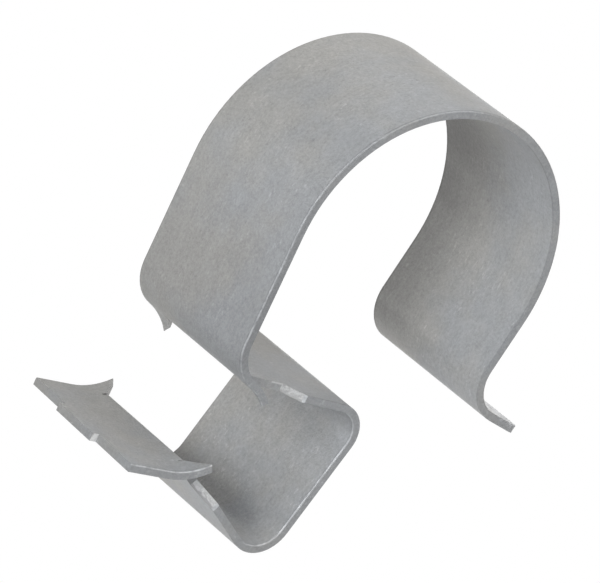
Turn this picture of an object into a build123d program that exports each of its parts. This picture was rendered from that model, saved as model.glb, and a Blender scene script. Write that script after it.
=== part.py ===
from build123d import *
import os
from math import cos, degrees, radians, sin, tan

# Fixing clamp folded from one spring steel strip, in millimetres and degrees.
# A pipe lies along Y in the loop, whose centre is the origin.
# The jaw hangs below the loop and opens towards -X, so that a flange slides in along +X.

# Strip
strip_width = 20.0
strip_thickness = 0.9
edge_round = 0.22

# Pipe loop and its two legs
pipe_bore = 33.5
left_leg = 12.62
left_lean = 15.8
right_leg = 6.2
right_lean = 4.65

# Flared lip that guides the pipe in
pipe_lip_bend = 3.85
pipe_lip = 4.8
pipe_lip_rise = 3.5
pipe_lip_corner = 1.6

# Jaw arms and web, with every bend radius measured on the inside of the bend
heel_bend = 4.0
top_arm = 11.7
top_slope = 15.2
web_top_bend = 2.6
web = 11.3
web_foot_bend = 3.15
low_arm = 11.0
low_slope = 17.0

# Lead-in lip of the jaw, from the crest outwards, with the stub of the cut-off tab at its end
crest_bend = 0.6
lip_root_slope = 33.7
lip_curve = 8.7
lip_slope = 17.0
lip = 5.05
lip_skew = 1.8
tab_length = 0.85
tab_width = 7.0
tab_shift = 0.2

# Notches punched into both edges of the arms, each leaving a barb and a slanting shoulder
notch_depth = 2.3
shoulder_slant = 45.0
slit = 0.25
barb_tip = 0.25
top_barb_dip = 6.5
top_barb_curve = 5.4
top_barb_skew = 38.0
top_barb_slit = 1.2
top_barb_slant = 36.0
top_shoulder = 5.05
top_punch_shift = 0.45
low_barb_skew = 0.0
low_barb_slit = 0.65
low_barb_slant = 45.0
low_shoulder = 5.7
low_punch_shift = 0.0

# Room around the strip for the shapes that cut it, the length of strip spent in cutting the lip's end,
# and how near two faces lie that count as touching
cut_room = 0.3
end_waste = 2.0
touch = 0.01

half_width = strip_width / 2
half_thick = strip_thickness / 2


class Station:
    """A place on the strip's middle line, with the heading in which the line goes on."""

    def __init__(self, point, heading):
        self.point = point
        self.heading = heading
        self.ahead = Vector(cos(radians(heading)), 0, sin(radians(heading)))
        self.left = Vector(-sin(radians(heading)), 0, cos(radians(heading)))
        self.plane = Plane(point, x_dir=self.ahead, z_dir=self.left)

    def turned(self, angle):
        return Station(self.point, self.heading + angle)

    def prism(self, outline):
        """A cutter through the strip here: its outline has X along the strip and Y across it."""
        return extrude(self.plane * outline, amount=strip_thickness + cut_room, both=True)

    def beyond(self):
        """A block that holds everything ahead of this place."""
        block = Box(strip_width, 2 * strip_width, strip_width)
        return self.plane * Pos(half_width, 0, 0) * block


class Trace:
    """A stretch of the strip's middle line, drawn as straight runs and round bends."""

    def __init__(self, start):
        self.start = start
        self.end = start
        self.steps = []

    def run(self, length):
        here = self.end
        self.end = Station(here.point + here.ahead * length, here.heading)
        self.steps.append((here, self.end))
        return self

    def bend(self, inside_radius, turn):
        """Turn left, or right where the turn is negative."""
        here = self.end
        reach = (inside_radius + half_thick) * (1 if turn > 0 else -1)
        centre = here.point + here.left * reach
        headings = (here.heading, here.heading + turn / 2, here.heading + turn)
        stops = tuple(Station(centre - Station(centre, angle).left * reach, angle) for angle in headings)
        self.steps.append(stops)
        self.end = stops[-1]
        return self

    def side(self, offset):
        """The line moved sideways, to its left where the offset is positive."""
        edges = []
        for stops in self.steps:
            points = [stop.point + stop.left * offset for stop in stops]
            edges.append(Line(*points) if len(points) == 2 else ThreePointArc(*points))
        return edges

    def ribbon(self, low_y=-half_width, high_y=half_width, room=0.0):
        """The strip along this line between two places across its width."""
        offset = half_thick + room
        outline = self.side(offset) + self.side(-offset)
        for stop in (self.start, self.end):
            outline.append(Line(stop.point + stop.left * offset, stop.point - stop.left * offset))
        return Pos(0, low_y, 0) * extrude(make_face(outline), amount=high_y - low_y, dir=(0, 1, 0))


def slant_run(depth, slant):
    """How far along the strip a slanting cut goes while it gains this depth."""
    return depth / tan(radians(slant))


def rolled(strip, rolled_lines):
    """Round both edges of a strip along the lines of its rolled side, and leave the other side sharp."""
    rims = []
    for edge in (-1, 1):
        side_faces = [face for face in strip.faces() if abs(face.center().Y - edge * half_width) < touch]
        for rim in ShapeList(side_faces).edges():
            middle = rim @ 0.5
            middle = Vector(middle.X, 0, middle.Z)
            if min(line.distance_to(middle) for line in rolled_lines) < touch:
                rims.append(rim)
    return fillet(rims, edge_round)


def barb_widths(punch_shift):
    """Both edges with their barbs' widths: the punch sits off the middle, towards the front edge."""
    return ((-1, notch_depth - punch_shift), (1, notch_depth + punch_shift))


def notch_cutters(neck, punch_shift):
    """Cut both edges of a neck that starts at the barbs' root and ends at the shoulders."""
    cutters = []
    for edge, barb_width in barb_widths(punch_shift):
        depth = barb_width + slit
        outer = edge * half_width
        inner = edge * (half_width - depth)
        shoulder = Polygon((0, inner), (0, outer), (slant_run(depth, shoulder_slant), outer), align=None)
        cutters.append(neck.ribbon(min(inner, outer), max(inner, outer), cut_room))
        cutters.append(neck.end.prism(shoulder))
    return cutters


def barbs(root, curve_radius, side, skew, slit_length, slant, punch_shift):
    """Two pointed tongues that go on from the strip at the root and curl towards the flange.

    The tongue curls about lines that run askew, from the root at the strip's edge forwards and inwards.
    """
    longest = slit_length + slant_run(notch_depth + punch_shift, slant)
    turn = side * degrees(longest / (curve_radius + half_thick))
    lead_in = Station(root.point - root.ahead * strip_width, root.heading)
    tongue = Trace(lead_in).run(strip_width).bend(curve_radius, turn).ribbon()
    pair = []
    for edge, width in barb_widths(punch_shift):
        tip = slit_length + slant_run(width - barb_tip, slant)
        outer = edge * half_width
        inner = edge * (half_width - width)
        point = edge * (half_width - barb_tip)
        corners = ((-cut_room, outer), (-cut_room, inner), (slit_length, inner), (tip, point), (tip, outer))
        pivot = Axis(root.point + Vector(0, outer, 0), root.left)
        barb = tongue.rotate(pivot, edge * skew) & root.beyond()
        barb = barb & root.turned(turn / 2).prism(Polygon(*corners, align=None))
        rims = [rim for rim in barb.edges() if abs(rim.center().Y - outer) < touch]
        rims = [rim for rim in rims if rim.length > 2 * strip_thickness]
        rolled_rim = max(rims, key=lambda rim: side * (rim @ 0.5).dot(root.left))
        pair.append(fillet([rolled_rim], edge_round))
    return pair


def corner_cutters(end, radius):
    """Round both corners of a strip's end."""
    cutters = []
    for edge in (-1, 1):
        place = Pos(-radius / 2, edge * (half_width - radius / 2))
        round_off = Pos(-radius, edge * (half_width - radius)) * Circle(radius)
        cutters.append(end.prism(place * Rectangle(radius, radius) - round_off))
    return cutters


def lip_end_cutter(end):
    """Cut the jaw lip's end a little askew and leave the tab standing on it."""
    waste = Pos(end_waste, 0) * Rectangle(2 * end_waste, 2 * strip_width)
    tab = Pos(0, tab_shift) * Rectangle(2 * tab_length, tab_width)
    return end.prism(Rot(0, 0, lip_skew) * (waste - tab))


# Middle line from the crown of the loop to the right, down to the flared lip
crown = Station(Vector(0, 0, pipe_bore / 2 + half_thick), 0)
guide = Trace(crown).bend(pipe_bore / 2, right_lean - 90).run(right_leg)
guide.bend(pipe_lip_bend, 90 - right_lean + pipe_lip_rise).run(pipe_lip)

# Middle line from the crown to the left, round the jaw and out along its lip
body = Trace(crown.turned(180)).bend(pipe_bore / 2, 90 + left_lean).run(left_leg)
body.bend(heel_bend, 90 - left_lean - top_barb_dip)
top_root = body.end
body.bend(heel_bend, top_barb_dip + top_slope).run(top_arm)
body.bend(web_top_bend, -90 - top_slope).run(web).bend(web_foot_bend, -90 - low_slope)
body.run(low_arm).bend(crest_bend, low_slope + lip_root_slope)
low_root = body.end.turned(180)
lip_end = body.bend(lip_curve, lip_slope - lip_root_slope).run(lip).end
body.run(end_waste)

# Necks between the barbs, each traced from its barbs' root towards the web
shoulder_run = slant_run(notch_depth + slit, shoulder_slant)
top_neck = Trace(top_root).bend(heel_bend, top_barb_dip + top_slope)
top_neck.run(top_arm - top_shoulder - shoulder_run)
low_neck = Trace(low_root).bend(crest_bend, -low_slope - lip_root_slope)
low_neck.run(low_arm - low_shoulder - shoulder_run)

clamp = rolled(body.ribbon() + guide.ribbon(), body.side(-half_thick) + guide.side(half_thick))
clamp -= corner_cutters(guide.end, pipe_lip_corner)
clamp -= lip_end_cutter(lip_end)
clamp -= notch_cutters(top_neck, top_punch_shift)
clamp -= notch_cutters(low_neck, low_punch_shift)
clamp += barbs(top_root, top_barb_curve, -1, top_barb_skew, top_barb_slit, top_barb_slant, top_punch_shift)
clamp += barbs(low_root, lip_curve, 1, low_barb_skew, low_barb_slit, low_barb_slant, low_punch_shift)

os.makedirs("parts", exist_ok=True)
export_step(clamp, "parts/clamp_strip.step")
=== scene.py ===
import math

import bmesh
import bpy
from mathutils import Matrix, Vector


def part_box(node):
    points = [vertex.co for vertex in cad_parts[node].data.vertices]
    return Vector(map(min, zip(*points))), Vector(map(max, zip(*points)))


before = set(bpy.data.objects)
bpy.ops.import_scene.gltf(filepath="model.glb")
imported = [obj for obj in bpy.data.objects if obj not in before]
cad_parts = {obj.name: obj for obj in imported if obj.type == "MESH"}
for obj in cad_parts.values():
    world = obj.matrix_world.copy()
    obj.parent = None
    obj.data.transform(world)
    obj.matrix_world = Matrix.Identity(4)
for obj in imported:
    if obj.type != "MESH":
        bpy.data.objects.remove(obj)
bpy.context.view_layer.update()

bl_info = {
    "name": "Fixing Clamp",
    "version": (1, 0, 0),
    "blender": (4, 5, 0),
    "location": "3D View > Sidebar > Clamp",
    "description": "Finishes a folded spring steel clamp in dull galvanised zinc and sets it in a white studio",
    "category": "Object",
}

MM = 0.001
STRIP_NODE = "clamp_strip"
STRIP_LOW, STRIP_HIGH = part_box(STRIP_NODE)
HALF_WIDTH = (STRIP_HIGH.y - STRIP_LOW.y) / 2 / MM

# Regions of the strip: each line gives a part of the place or of the facing, where the region ends and
# where it is full. Places are in millimetres. Across is the distance from the strip's middle line,
# and sideways is how far a face turns towards either edge.
LIP_TIP = (("x", -14, -14.5),)
LOW_JAW = (("z", -26, -27),)
LOW_NECK = (("x", -6.6, -6.2),)
# Where the rims' rubbing and painted highlight grow stronger
RUB_AND_HIGHLIGHT_LOW = (("z", 2, -20),)

# Faces left by the rolling mill and the punch
EDGE_FACE = (("across", HALF_WIDTH - 0.3, HALF_WIDTH - 0.2),)
ROUNDED_FACE = (("sideways", 0.1, 0.35), ("sideways", 0.97, 0.85))
SHOULDER_FACE = (("sideways", 0.5, 0.62), ("sideways", 0.88, 0.78), ("x", -5.6, -5.3))
SLIT_FACE = (("sideways", 0.9, 0.98),)
LIP_END_FACE = (("facing_x", -0.9, -0.95), *LIP_TIP, *LOW_JAW)
GUIDE_END_FACE = (("x", 26.85, 26.95),)
DULL_SHOULDER = (("across", 8.5, 7.8),)
TAB_NICK = (("x", -16.75, -16.5),)
BURR_ROOT = (("x", -5.4, -5.1),)

# Faces with marks of their own: a rubbed, highlit top on the guide, a darker heel, painted shade under and
# inside the loop and at the web's foot, and painted light on the web
# Top of the guide, rubbed and lightened as a painted highlight
GUIDE_TOP = (("x", 19, 21), ("facing_z", 0.5, 0.9))
# Darker towards the heel
DARKER_HEEL = (("x", -8, -13), ("z", 8, -17), ("z", -24, -21))
# Painted shade on the upper arm under the loop
SHADED_ARM = (("facing_z", 0.8, 0.95), ("x", -9, -5), ("z", -24, -22), ("z", -12, -14))
# Painted shade inside the loop's crown and on the loop's side
SHADED_CROWN_INSIDE = (("facing_z", -0.35, -0.8), ("z", 0, 10), ("y", -6, 7))
SHADED_LOOP_SIDE = (("facing_x", -0.4, -0.85), ("x", 5, 10), ("z", -12, -4), ("y", -2, 9))
# Painted shade at the foot of the web
SHADED_FOOT = (("facing_x", -0.55, -0.8), ("x", 5, 6.2), ("z", -30, -32.5), ("y", -8, -3))
# Painted light on the web
LIT_WEB = (("facing_x", -0.9, -0.97), ("x", 5, 6.5), ("z", -31, -28), ("y", -6, 4))

# Middles of the two slanting shoulders, as x and z, with the slope of the arm that each one is cut into
TOP_SHOULDER = (-3.01, -18.7, math.radians(15.2))
LOW_SHOULDER = (-3.9, -32.5, math.radians(-17))

# Heights over those middles at which a tear or a burr begins and is full, and how ragged the tears are
TOP_TEAR_HEIGHT = (-0.1, -0.32)
LOW_TEAR_HEIGHT = (-0.08, -0.2)
BURR_HEIGHT = (0.28, 0.36)
TOP_TEAR_RAGGED = 1.0
LOW_TEAR_RAGGED = 0.5

# Noises: scale to the millimetre, detail and roughness, and the value about which they all vary
NOISE_MIDDLE = 0.5
CLOUD_NOISE = (0.12, 3.0, 0.55)
SCUFFED_AREA_NOISE = (0.2, 2.0, 0.55)
PATCH_NOISE = (0.55, 3.0, 0.55)
RUB_AND_HIGHLIGHT_NOISE = (0.9, 2.0, 0.55)
DRAWN_NOISE = (1.0, 2.0, 0.7)
PIT_NOISE = (1.5, 2.0, 0.55)
TEAR_NOISE = (1.6, 2.0, 0.55)
SCUFF_NOISE = (2.4, 2.0, 0.7)
GRAIN_NOISE = (2.8, 3.0, 0.85)
SPECK_NOISE = (4.0, 2.0, 0.7)

# Stretch of the lines that the mill drew and of the scuffs: along the strip, then across it
DRAWN_STRETCH = (0.15, 3.0)
SCUFF_STRETCH = (0.5, 1.2)

# Values of a noise at which its mark begins and is full
CLOUDED = (0.3, 0.7)
SCUFFED_AREA = (0.45, 0.6)
SCUFFED = (0.58, 0.7)
RUB_AND_HIGHLIGHT = (0.3, 0.6)
PITTED = (0.66, 0.74)
SHEARED = (0.3, 0.7)

# How much each mark lightens or darkens the zinc
PATCH_TONE = 0.3
GRAIN_TONE = 0.85
DRAWN_TONE = 0.14
SCUFF_TONE = 0.25
PIT_TONE = 0.12
# Painted shade on the upper arm under the loop
SHADE_TONE = 0.17
# Darkening towards the heel
HEEL_DARKENING = 0.2
# Painted shade inside the loop
LOOP_SHADE_TONE = 0.43
# Painted shade at the web's foot
FOOT_SHADE_TONE = 0.3
# Painted light on the web
WEB_LIGHT_TONE = 0.16
CUT_TONE = 0.22
# Painted shade on the walls of the slits, deepest at the lower neck
SLIT_SHADE_TONE = 0.1
LOW_NECK_SHADE_TONE = 0.3
# Rubbed rims lightened as a painted highlight, more so low on the strip
RUB_AND_HIGHLIGHT_TONE = 0.06
LOW_RIM_HIGHLIGHT_TONE = 0.24

# Share of the painted shade inside the crown that lies on the loop's side, and how that painted shade and each
# millimetre towards the back edge warm the colour
SIDE_SHADE_SHARE = 0.8
LOOP_SHADE_WARMTH = 0.3
BACK_WARMTH = 0.016

# How much of the bright steel the dull shoulders lack, and how bright the painted glint on the burrs is
DULLNESS = 0.6
BURR_GLINT = 0.6

# How much each mark roughens or smooths the zinc, how patches add to the relief of its specks,
# and the depth of that relief
PATCH_ROUGHNESS = 0.2
GRAIN_ROUGHNESS = 0.15
RUB_SMOOTHNESS = 0.1
PATCH_RELIEF = 0.6
RELIEF = 0.06 * MM

# Floor: its shade, how white it looks near the clamp, and between which distances it turns all white
PAPER = (0.8, 0.8, 0.8, 1)
WHITE = (1, 1, 1, 1)
NEAR_WHITENESS = 0.42
FLOOR_FADE = (0.4, 0.75)
FLOOR_SIDES = 96

# Height of a line of sight at which the white horizon begins and is full
HORIZON = (0.18, 0.09)

# Lamps: azimuth and elevation in degrees, the setting that holds the power, and the colour
COOL_LIGHT = (0.967, 0.988, 1.0)
WARM_LIGHT = (1.0, 0.993, 0.98)
LAMPS = {
    "key_lamp": (-60, -2, "key_power", COOL_LIGHT),
    "front_lamp": (8, 55, "front_power", WARM_LIGHT),
    "back_lamp": (180, 55, "back_power", WARM_LIGHT),
    "right_rim_lamp": (140, 25, "rim_power", WARM_LIGHT),
    "left_rim_lamp": (-150, 25, "rim_power", WARM_LIGHT),
    "fill_lamp": (118, 4, "fill_power", WARM_LIGHT),
}

# Nearest distance that the camera sees
NEAREST_SEEN = 0.01

# Sockets of a Mix node when it mixes colours
MIX_FACTOR, MIX_LOW, MIX_HIGH, MIX_RESULT = 0, 6, 7, 2


class Tree:
    """A shader tree under construction."""

    def __init__(self, owner):
        owner.use_nodes = True
        self.tree = owner.node_tree
        self.tree.nodes.clear()

    def node(self, kind, settings=None, sockets=None, output=0):
        """Add any node: its settings first, then the values or links of its sockets; returns one output."""
        made = self.tree.nodes.new(kind)
        for name, value in (settings or {}).items():
            setattr(made, name, value)
        for name, value in (sockets or {}).items():
            socket = made.inputs[name]
            if isinstance(value, Field):
                self.tree.links.new(value.socket, socket)
            else:
                socket.default_value = value
        if len(made.outputs) == 0:
            return made
        return Field(self, made.outputs[output])

    def mix(self, factor, low, high, blend="MIX"):
        """Two colours, mixed or blended by a factor from 0 to 1."""
        settings = {"data_type": "RGBA", "blend_type": blend}
        sockets = {MIX_FACTOR: factor, MIX_LOW: low, MIX_HIGH: high}
        return self.node("ShaderNodeMix", settings, sockets, MIX_RESULT)


class Field:
    """A value that varies over the surface, which takes part in sums like a number."""

    def __init__(self, tree, socket):
        self.tree = tree
        self.socket = socket

    def maths(self, operation, *others):
        values = dict(enumerate((self, *others)))
        return self.tree.node("ShaderNodeMath", {"operation": operation}, values)

    def __add__(self, other):
        return self.maths("ADD", other)

    def __radd__(self, other):
        return self.maths("ADD", other)

    def __sub__(self, other):
        return self.maths("SUBTRACT", other)

    def __rsub__(self, other):
        return (self * -1) + other

    def __mul__(self, other):
        return self.maths("MULTIPLY", other)

    def __rmul__(self, other):
        return self.maths("MULTIPLY", other)

    def __or__(self, other):
        """The higher of two masks."""
        return self.maths("MAXIMUM", other)

    def __ror__(self, other):
        return self.maths("MAXIMUM", other)

    def __abs__(self):
        return self.maths("ABSOLUTE")

    def other(self, output):
        """Another output of the same node."""
        return Field(self.tree, self.socket.node.outputs[output])

    def between(self, low, high):
        """Rises from 0 at low to 1 at high, or falls where high is the lower one."""
        sockets = {"Value": self, "From Min": low, "From Max": high}
        return self.tree.node("ShaderNodeMapRange", {"interpolation_type": "SMOOTHSTEP"}, sockets)

    def mix(self, low, high):
        """The colour low where this value is 0 and high where it is 1."""
        return self.tree.mix(self, low, high)


class Surface:
    """The strip's surface: where each point lies, in millimetres, which way it faces, and its noises."""

    def __init__(self, tree):
        self.tree = tree
        place = tree.node("ShaderNodeTexCoord", output="Object")
        self.place = tree.node("ShaderNodeVectorMath", {"operation": "SCALE"}, {0: place, "Scale": 1 / MM})
        facing = tree.node("ShaderNodeNewGeometry", output="Normal")
        self.parts = {}
        for prefix, vector in (("", self.place), ("facing_", facing)):
            first = tree.node("ShaderNodeSeparateXYZ", {}, {"Vector": vector})
            for axis in "xyz":
                self.parts[prefix + axis] = first.other(axis.upper())
        self.parts["across"] = abs(self.parts["y"])
        self.parts["sideways"] = abs(self.parts["facing_y"])

    def region(self, *regions):
        """1 where all these regions are full, and 0 outside any of them."""
        ranges = [each for region in regions for each in region]
        first, *rest = (self.parts[part].between(end, full) for part, end, full in ranges)
        return math.prod(rest, start=first)

    def height_over(self, shoulder):
        """How high a point lies over a shoulder's middle, square to its arm."""
        x, z, slope = shoulder
        return (self.parts["x"] - x) * -math.sin(slope) + (self.parts["z"] - z) * math.cos(slope)

    def noise(self, settings, place=None):
        """A noise on the place, or on a stretched place."""
        scale, detail, roughness = settings
        sockets = {"Vector": place or self.place, "Scale": scale, "Detail": detail, "Roughness": roughness}
        return self.tree.node("ShaderNodeTexNoise", {"noise_dimensions": "3D"}, sockets)

    def stretched(self, along, across):
        """The place, scaled along the strip and across it."""
        sockets = {0: self.place, 1: (along, across, along)}
        return self.tree.node("ShaderNodeVectorMath", {"operation": "MULTIPLY"}, sockets)


class ClampFinish(bpy.types.PropertyGroup):
    """The look of the galvanised strip."""

    zinc_cool: bpy.props.FloatVectorProperty(
        name="Cool Zinc",
        description="Colour of the bluish zinc, mostly towards the front edge",
        subtype="COLOR",
        size=3,
        default=(0.393, 0.402, 0.416),
    )
    # The warm zinc also lies where the painted shade inside the loop is
    zinc_warm: bpy.props.FloatVectorProperty(
        name="Warm Zinc",
        description="Colour of the warmer zinc, mostly towards the back edge and under dust",
        subtype="COLOR",
        size=3,
        default=(0.418, 0.411, 0.398),
    )
    sheared_steel: bpy.props.FloatVectorProperty(
        name="Sheared Steel",
        description="Brightest colour of the faces that the punch sheared",
        subtype="COLOR",
        size=3,
        default=(0.5, 0.5, 0.5),
    )
    dull_steel: bpy.props.FloatVectorProperty(
        name="Dull Steel",
        description="Dullest colour of the faces that the punch sheared",
        subtype="COLOR",
        size=3,
        default=(0.3, 0.3, 0.3),
    )
    torn_top: bpy.props.FloatVectorProperty(
        name="Torn Top",
        description="Colour of the torn part of the upper shoulders",
        subtype="COLOR",
        size=3,
        default=(0.33, 0.33, 0.33),
    )
    torn_low: bpy.props.FloatVectorProperty(
        name="Torn Low",
        description="Colour of the torn part of the lower shoulders",
        subtype="COLOR",
        size=3,
        default=(0.25, 0.25, 0.255),
    )
    # Painted glint on the burrs and on the nick beside the tab
    glinting_steel: bpy.props.FloatVectorProperty(
        name="Bare Steel",
        description="Colour of the burrs and of the nick beside the tab",
        subtype="COLOR",
        size=3,
        default=(0.7, 0.7, 0.7),
    )
    roughness: bpy.props.FloatProperty(
        name="Roughness",
        description="How dull the zinc is",
        subtype="FACTOR",
        min=0,
        max=1,
        default=0.52,
    )
    metallic: bpy.props.FloatProperty(
        name="Metallic",
        description="How much the zinc reflects as bare metal",
        subtype="FACTOR",
        min=0,
        max=1,
        default=0.25,
    )


class ClampStage(bpy.types.PropertyGroup):
    """The floor, the lamps and the camera."""

    floor_drop: bpy.props.FloatProperty(
        name="Floor Drop",
        description="How far the floor lies below the clamp's lowest point",
        unit="LENGTH",
        default=0.265,
    )
    floor_radius: bpy.props.FloatProperty(
        name="Floor Radius",
        description="Radius of the floor",
        unit="LENGTH",
        default=8.0,
    )
    ambient: bpy.props.FloatProperty(
        name="Ambient",
        description="Strength of the even light from all round",
        default=0.08,
    )
    key_power: bpy.props.FloatProperty(
        name="Key Lamp",
        description="Power of the large lamp to the left of the camera",
        unit="POWER",
        default=3.16,
    )
    front_power: bpy.props.FloatProperty(
        name="Front Lamp",
        description="Power of the lamp above the front edge",
        unit="POWER",
        default=2.6,
    )
    back_power: bpy.props.FloatProperty(
        name="Back Lamp",
        description="Power of the lamp above the back edge",
        unit="POWER",
        default=0.8,
    )
    rim_power: bpy.props.FloatProperty(
        name="Rim Lamps",
        description="Power of each of the two low lamps behind the clamp",
        unit="POWER",
        default=0.34,
    )
    fill_power: bpy.props.FloatProperty(
        name="Fill Lamp",
        description="Power of the lamp that fills the side turned away from the camera",
        unit="POWER",
        default=1.1,
    )
    lamp_distance: bpy.props.FloatProperty(
        name="Lamp Distance",
        description="How far the lamps stand from the clamp",
        unit="LENGTH",
        default=0.6,
    )
    lamp_size: bpy.props.FloatProperty(
        name="Lamp Size",
        description="Width of each lamp's soft panel",
        unit="LENGTH",
        default=0.5,
    )
    camera_azimuth: bpy.props.FloatProperty(
        name="Camera Azimuth",
        description="Turn of the camera about the vertical, from a view along +Y",
        subtype="ANGLE",
        default=math.radians(-44.17),
    )
    camera_elevation: bpy.props.FloatProperty(
        name="Camera Elevation",
        description="Height of the camera above the level",
        subtype="ANGLE",
        default=math.radians(2.038),
    )
    camera_roll: bpy.props.FloatProperty(
        name="Camera Roll",
        description="Turn of the camera about its own line of sight",
        subtype="ANGLE",
        default=math.radians(36.914),
    )
    camera_place: bpy.props.FloatVectorProperty(
        name="Camera Place",
        description="Where the camera stands",
        subtype="TRANSLATION",
        unit="LENGTH",
        size=3,
        default=(-0.40259, -0.41226, 0.01053),
    )
    camera_lens: bpy.props.FloatProperty(
        name="Camera Lens",
        description="Focal length of the lens, in millimetres on a sensor 36 mm wide",
        unit="CAMERA",
        default=328.98,
    )


def zinc_material(finish):
    """Dull galvanised zinc, mottled and darker at the heel, with painted shade and light in places, rims rubbed
    and lightened as a painted highlight, and bright faces where the punch cut.
    """
    material = bpy.data.materials.new("galvanised_zinc")
    tree = Tree(material)
    surface = Surface(tree)
    patches = surface.noise(PATCH_NOISE)
    grain = surface.noise(GRAIN_NOISE)
    specks = surface.noise(SPECK_NOISE)
    edge = surface.region(EDGE_FACE)
    # Rubbed rims and the guide's top, lightened as a painted highlight
    rubbed_and_highlit = (edge * surface.region(ROUNDED_FACE)) | surface.region(GUIDE_TOP)
    rubbed_and_highlit = rubbed_and_highlit * surface.noise(RUB_AND_HIGHLIGHT_NOISE).between(*RUB_AND_HIGHLIGHT)
    slit = surface.region(SLIT_FACE) * (1 - edge)
    # Painted shade inside the loop, on the crown and on the side
    loop_shade = surface.region(SHADED_CROWN_INSIDE) | surface.region(SHADED_LOOP_SIDE) * SIDE_SHADE_SHARE

    tone = marked_tone(surface, patches, grain) * heel_and_painted_light_tone(surface, loop_shade) * cut_tone(surface, edge, slit)
    tone = tone + rubbed_and_highlit * (RUB_AND_HIGHLIGHT_TONE + surface.region(RUB_AND_HIGHLIGHT_LOW) * LOW_RIM_HIGHLIGHT_TONE)
    shade = tree.node("ShaderNodeCombineColor", {}, {"Red": tone, "Green": tone, "Blue": tone})
    clouds = surface.noise(CLOUD_NOISE) + surface.parts["y"] * BACK_WARMTH + loop_shade * LOOP_SHADE_WARMTH
    zinc = clouds.between(*CLOUDED).mix((*finish.zinc_cool, 1), (*finish.zinc_warm, 1))
    zinc = tree.mix(1.0, zinc, shade, "MULTIPLY")

    roughness = finish.roughness + (patches - NOISE_MIDDLE) * PATCH_ROUGHNESS
    roughness = roughness + (grain - NOISE_MIDDLE) * GRAIN_ROUGHNESS - rubbed_and_highlit * RUB_SMOOTHNESS
    relief = specks + patches * PATCH_RELIEF
    sockets = {
        "Base Color": punched_colour(surface, finish, zinc, specks, edge, slit),
        "Metallic": finish.metallic,
        "Roughness": roughness,
        "Normal": tree.node("ShaderNodeBump", {}, {"Strength": 1.0, "Distance": RELIEF, "Height": relief}),
    }
    shader = tree.node("ShaderNodeBsdfPrincipled", {}, sockets)
    tree.node("ShaderNodeOutputMaterial", {}, {"Surface": shader})
    return material


def marked_tone(surface, patches, grain):
    """The mottle, grain, drawn lines, scuffs and pits of the zinc coat, about 1."""
    drawn = surface.noise(DRAWN_NOISE, surface.stretched(*DRAWN_STRETCH))
    scuffs = surface.noise(SCUFF_NOISE, surface.stretched(*SCUFF_STRETCH)).between(*SCUFFED)
    scuffs = scuffs * surface.noise(SCUFFED_AREA_NOISE).between(*SCUFFED_AREA)
    pits = surface.noise(PIT_NOISE).between(*PITTED)
    tone = 1 + (patches - NOISE_MIDDLE) * PATCH_TONE + (grain - NOISE_MIDDLE) * GRAIN_TONE
    return tone + (drawn - NOISE_MIDDLE) * DRAWN_TONE + scuffs * SCUFF_TONE - pits * PIT_TONE


def heel_and_painted_light_tone(surface, loop_shade):
    """What the darker heel and the painted shade under the loop, inside the loop and at the web's foot take
    from the tone, and what painted light gives back on the web.
    """
    tone = 1 - surface.region(SHADED_ARM) * SHADE_TONE
    tone = tone * (1 - surface.region(DARKER_HEEL) * HEEL_DARKENING) * (1 - loop_shade * LOOP_SHADE_TONE)
    return tone * (1 - surface.region(SHADED_FOOT) * FOOT_SHADE_TONE + surface.region(LIT_WEB) * WEB_LIGHT_TONE)


def cut_tone(surface, edge, slit):
    """What the strip's edges and its two ends take from the tone, and the painted shade on the walls of the
    slits.
    """
    cut = edge | surface.region(LIP_END_FACE) | surface.region(GUIDE_END_FACE)
    # Painted shade on the walls of the slits, deepest at the lower neck
    shaded_wall = slit * (1 - surface.region(LIP_TIP))
    wall_shade_tone = SLIT_SHADE_TONE + surface.region(LOW_JAW, LOW_NECK) * LOW_NECK_SHADE_TONE
    return (1 - cut * CUT_TONE) * (1 - shaded_wall * wall_shade_tone)


def punched_colour(surface, finish, zinc, specks, edge, slit):
    """The zinc's colour with the shoulders and the tab's sides that the punch left bare, and burrs and a nick
    of bare steel painted bright as a glint.
    """
    low_jaw = surface.region(LOW_JAW)
    lip_tip = surface.region(LIP_TIP)
    shoulder = surface.region(SHOULDER_FACE) * (1 - edge)
    bright = 1 - low_jaw * surface.region(DULL_SHOULDER) * DULLNESS
    ragged = surface.noise(TEAR_NOISE) - NOISE_MIDDLE
    over_top = surface.height_over(TOP_SHOULDER)
    over_low = surface.height_over(LOW_SHOULDER)
    top_tear = (over_top + ragged * TOP_TEAR_RAGGED).between(*TOP_TEAR_HEIGHT) * (1 - low_jaw)
    low_tear = (over_low + ragged * LOW_TEAR_RAGGED).between(*LOW_TEAR_HEIGHT) * low_jaw
    tab_side = slit * lip_tip
    # Painted glint on the nick beside the tab and on a burr at the upper slit
    nick_glint = tab_side * surface.region(TAB_NICK)
    burr_glint = slit * (1 - lip_tip) * over_top.between(*BURR_HEIGHT) * surface.region(BURR_ROOT)

    steel = specks.between(*SHEARED).mix((*finish.dull_steel, 1), (*finish.sheared_steel, 1))
    colour = (shoulder * bright | tab_side).mix(zinc, steel)
    colour = (shoulder * top_tear).mix(colour, (*finish.torn_top, 1))
    colour = (shoulder * low_tear).mix(colour, (*finish.torn_low, 1))
    return (nick_glint | burr_glint * BURR_GLINT).mix(colour, (*finish.glinting_steel, 1))


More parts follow.
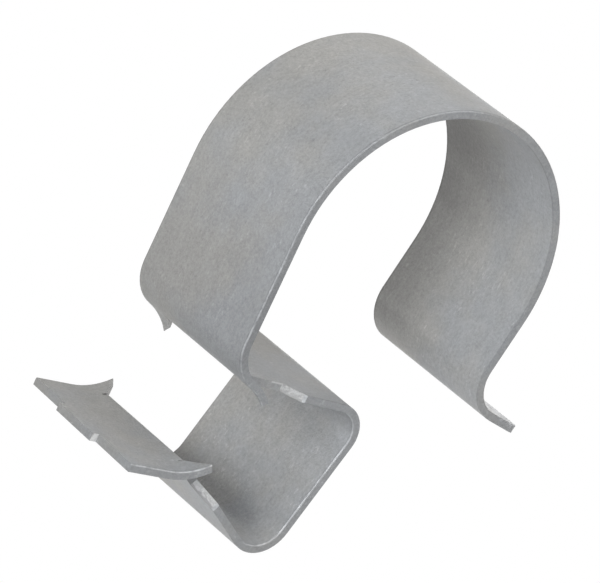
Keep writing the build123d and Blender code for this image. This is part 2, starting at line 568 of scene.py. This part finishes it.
def floor_material():
    """Plain pale floor that keeps the shadow near the clamp and is white further off."""
    material = bpy.data.materials.new("pale_floor")
    tree = Tree(material)
    place = tree.node("ShaderNodeTexCoord", output="Object")
    away = tree.node("ShaderNodeVectorMath", {"operation": "LENGTH"}, {0: place}, output="Value")
    seen = seen_directly(tree) * (NEAR_WHITENESS + away.between(*FLOOR_FADE) * (1 - NEAR_WHITENESS))
    paper = tree.node("ShaderNodeBsdfDiffuse", {}, {"Color": PAPER})
    white = tree.node("ShaderNodeEmission", {}, {"Color": WHITE, "Strength": 1.0})
    surface = tree.node("ShaderNodeMixShader", {}, {0: seen, 1: paper, 2: white})
    tree.node("ShaderNodeOutputMaterial", {}, {"Surface": surface})
    return material


def seen_directly(tree):
    """1 for what the camera sees, straight or in gloss and glass, and 0 for light that falls on things."""
    camera = tree.node("ShaderNodeLightPath", output="Is Camera Ray")
    return camera | camera.other("Is Glossy Ray") | camera.other("Is Transmission Ray")


def white_world(ambient):
    """A world that is white to look at along the horizon and lights the clamp evenly from all round."""
    world = bpy.data.worlds.new("white_studio")
    tree = Tree(world)
    sight = tree.node("ShaderNodeTexCoord", output="Generated")
    height = tree.node("ShaderNodeSeparateXYZ", {}, {"Vector": sight}, output="Z")
    backdrop = seen_directly(tree) * abs(height).between(*HORIZON)
    even = tree.node("ShaderNodeBackground", {}, {"Color": WHITE, "Strength": ambient})
    white = tree.node("ShaderNodeBackground", {}, {"Color": WHITE, "Strength": 1.0})
    light = tree.node("ShaderNodeMixShader", {}, {0: backdrop, 1: even, 2: white})
    tree.node("ShaderNodeOutputWorld", {}, {"Surface": light})
    return world


def direction(azimuth, elevation):
    """Where a viewer stands who looks at the origin: azimuth 0 looks along +Y."""
    level = math.cos(elevation)
    return Vector((math.sin(azimuth) * level, -math.cos(azimuth) * level, math.sin(elevation)))


def add_object(name, data):
    """Put a new object with this data into the scene."""
    made = bpy.data.objects.new(name, data)
    bpy.context.scene.collection.objects.link(made)
    return made


class CLAMP_OT_finish_strip(bpy.types.Operator):
    """Give the folded strip its galvanised finish"""

    bl_idname = "clamp.finish_strip"
    bl_label = "Finish Strip"

    def execute(self, context):
        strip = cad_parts[STRIP_NODE]
        strip.data.materials.clear()
        strip.data.materials.append(zinc_material(context.scene.clamp_finish))
        return {"FINISHED"}


class CLAMP_OT_set_stage(bpy.types.Operator):
    """Set the floor, the lamps, the world and the camera"""

    bl_idname = "clamp.set_stage"
    bl_label = "Set Stage"

    def execute(self, context):
        stage = context.scene.clamp_stage
        self.lay_floor(stage)
        for name, lamp in LAMPS.items():
            self.hang_lamp(stage, name, *lamp)
        context.scene.world = white_world(stage.ambient)
        context.scene.view_settings.view_transform = "Standard"
        context.scene.camera = self.place_camera(stage)
        return {"FINISHED"}

    def lay_floor(self, stage):
        sheet = bmesh.new()
        bmesh.ops.create_circle(sheet, cap_ends=True, segments=FLOOR_SIDES, radius=stage.floor_radius)
        bmesh.ops.translate(sheet, vec=(0, 0, STRIP_LOW.z - stage.floor_drop), verts=sheet.verts)
        mesh = bpy.data.meshes.new("floor")
        sheet.to_mesh(mesh)
        sheet.free()
        mesh.materials.append(floor_material())
        floor = add_object("floor", mesh)

    def hang_lamp(self, stage, name, azimuth, elevation, power, colour):
        """Hang a soft square panel that shines at the clamp."""
        panel = bpy.data.lights.new(name, "AREA")
        panel.size = stage.lamp_size
        panel.energy = getattr(stage, power)
        panel.color = colour
        lamp = add_object(name, panel)
        toward = direction(math.radians(azimuth), math.radians(elevation))
        lamp.location = toward * stage.lamp_distance
        lamp.rotation_euler = toward.to_track_quat("Z", "Y").to_euler()
        lamp.visible_camera = False

    def place_camera(self, stage):
        azimuth, elevation, roll = stage.camera_azimuth, stage.camera_elevation, stage.camera_roll
        level = Vector((math.cos(azimuth), math.sin(azimuth), 0))
        back = direction(azimuth, elevation)
        upright = back.cross(level)
        right = level * math.cos(roll) + upright * math.sin(roll)
        up = upright * math.cos(roll) - level * math.sin(roll)
        lens = bpy.data.cameras.new("photo_camera")
        lens.lens = stage.camera_lens
        lens.sensor_fit = "HORIZONTAL"
        lens.clip_start = NEAREST_SEEN
        camera = add_object("photo_camera", lens)
        turn = Matrix((right, up, back)).transposed().to_4x4()
        camera.matrix_world = Matrix.Translation(stage.camera_place) @ turn
        return camera


class CLAMP_PT_panel(bpy.types.Panel):
    """Lists the clamp's settings and steps"""

    bl_idname = "CLAMP_PT_panel"
    bl_label = "Fixing Clamp"
    bl_space_type = "VIEW_3D"
    bl_region_type = "UI"
    bl_category = "Clamp"

    def draw(self, context):
        for settings in (context.scene.clamp_finish, context.scene.clamp_stage):
            for name in settings.__annotations__:
                self.layout.prop(settings, name)
        for step in STEPS:
            self.layout.operator(step.bl_idname)


STEPS = (CLAMP_OT_finish_strip, CLAMP_OT_set_stage)
CLASSES = (ClampFinish, ClampStage, *STEPS, CLAMP_PT_panel)


def register():
    for each in CLASSES:
        bpy.utils.register_class(each)
    bpy.types.Scene.clamp_finish = bpy.props.PointerProperty(type=ClampFinish)
    bpy.types.Scene.clamp_stage = bpy.props.PointerProperty(type=ClampStage)


def unregister():
    del bpy.types.Scene.clamp_stage
    del bpy.types.Scene.clamp_finish
    for each in reversed(CLASSES):
        bpy.utils.unregister_class(each)


def main():
    register()
    bpy.ops.clamp.finish_strip()
    bpy.ops.clamp.set_stage()


if __name__ == "__main__":
    main()
